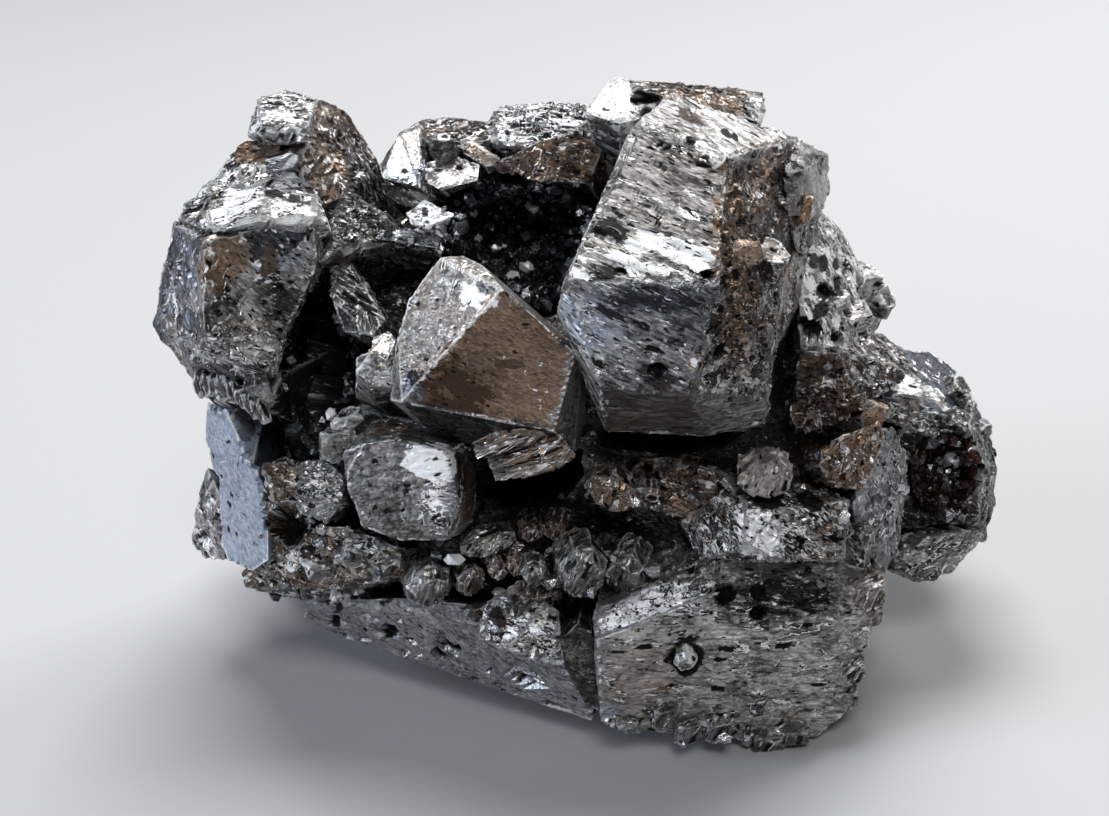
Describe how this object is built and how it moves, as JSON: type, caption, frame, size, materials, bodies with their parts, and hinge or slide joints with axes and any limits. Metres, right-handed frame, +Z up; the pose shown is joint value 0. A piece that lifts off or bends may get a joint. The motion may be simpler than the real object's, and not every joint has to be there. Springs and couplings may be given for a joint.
{
  "type": "hematite specimen",
  "caption": "Small cluster of intergrown metallic hematite crystals with pitted faces and druse in its hollows, standing on a flat underside; a mineral display specimen.",
  "frame": {"origin": "middle of the underside, under the middle of the whole cluster's box", "axes": "+Z up as displayed, +X to the right along the longest extent as seen from the front, +Y to the back"},
  "size_m": [0.051, 0.035, 0.0376],
  "materials": {
    "hematite": "satin",
    "dark_druse": "gloss",
    "red_druse": "gloss"
  },
  "bodies": {
    "root": {"hematite_cluster": "hematite", "left_hollow_druse": "dark_druse", "upper_pocket_druse": "dark_druse", "right_cup_druse": "red_druse"}
  },
  "joints": []
}
